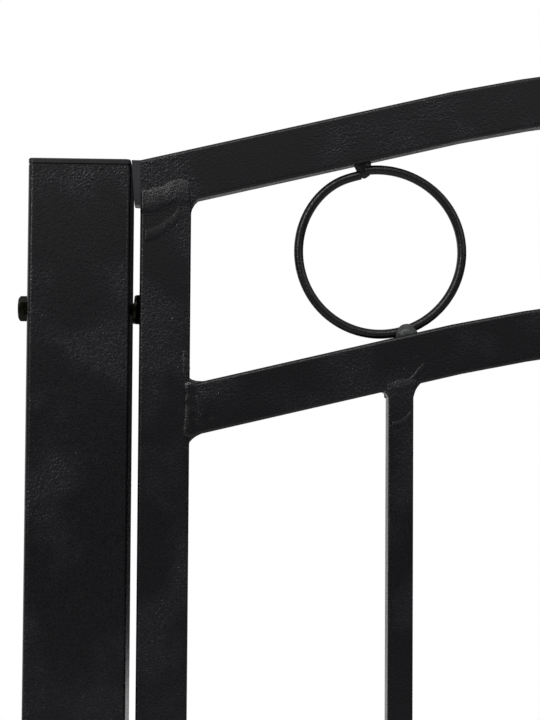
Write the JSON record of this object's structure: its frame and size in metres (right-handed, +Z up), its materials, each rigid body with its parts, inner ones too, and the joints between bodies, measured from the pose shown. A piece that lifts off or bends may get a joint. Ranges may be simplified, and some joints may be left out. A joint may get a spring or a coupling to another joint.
{
  "type": "garden gate",
  "caption": "Arched tubular steel garden gate leaf with rings between two bent rails, hinged between two square posts, with a slide bolt and a fixed pull handle.",
  "frame": {"origin": "centre of the hinge post's foot", "axes": "+X along the gate from the hinge post to the lock post, +Z up, -Y the front; the leaf opens away from the front"},
  "size_m": [0.9793, 0.106, 2.0726],
  "materials": {
    "powder_coated_steel": "fine-textured anthracite powder coat, satin",
    "post_cap_plastic": "moulded polyethylene, matt",
    "plug_plastic": "moulded polyethylene, smooth satin",
    "black_zinc_fasteners": "black-passivated zinc, dark olive sheen",
    "bolt_steel": "drawn steel, zinc plated",
    "rubber_buffer": "moulded rubber, matt"
  },
  "bodies": {
    "frame": {"hinge_post": "powder_coated_steel", "lock_post": "powder_coated_steel", "hinge_post_cap": "post_cap_plastic", "lock_post_cap": "post_cap_plastic", "hinge_post_foot": "powder_coated_steel", "lock_post_foot": "powder_coated_steel", "hinge_bolts": "black_zinc_fasteners", "post_weld_nuts": "black_zinc_fasteners", "hinge_eyes": "black_zinc_fasteners", "bolt_keeper": "powder_coated_steel", "keeper_screws": "black_zinc_fasteners", "gate_stops": "powder_coated_steel", "stop_buffers": "rubber_buffer"},
    "leaf": {"bar_1": "powder_coated_steel", "bar_2": "powder_coated_steel", "bar_3": "powder_coated_steel", "bar_4": "powder_coated_steel", "bar_5": "powder_coated_steel", "bolt_backplate": "powder_coated_steel", "bolt_guides": "powder_coated_steel", "bolt_screws": "black_zinc_fasteners", "bottom_rail": "powder_coated_steel", "handle_screws": "black_zinc_fasteners", "hinge_lugs": "powder_coated_steel", "hinge_pins": "black_zinc_fasteners", "hinge_side_rail_plug": "plug_plastic", "hinge_stile": "powder_coated_steel", "lock_plate": "powder_coated_steel", "lock_side_rail_plug": "plug_plastic", "lock_stile": "powder_coated_steel", "pull_handle": "powder_coated_steel", "ring_centre": "powder_coated_steel", "ring_left": "powder_coated_steel", "ring_rail": "powder_coated_steel", "ring_right": "powder_coated_steel", "ring_tabs": "powder_coated_steel", "stile_plugs": "plug_plastic", "top_rail": "powder_coated_steel"},
    "slide_bolt": {"bolt_rod": "bolt_steel", "bolt_knob": "bolt_steel"}
  },
  "joints": [
    {"name": "leaf_swing", "type": "hinge", "parent": "frame", "child": "leaf", "pos_m": [0.0389, -0.0205, 1.2], "axis": [0, 0, 1], "range_deg": [0, 90]},
    {"name": "bolt_slide", "type": "slide", "parent": "leaf", "child": "slide_bolt", "axis": [1, 0, 0], "range_m": [0, 0.032]}
  ]
}
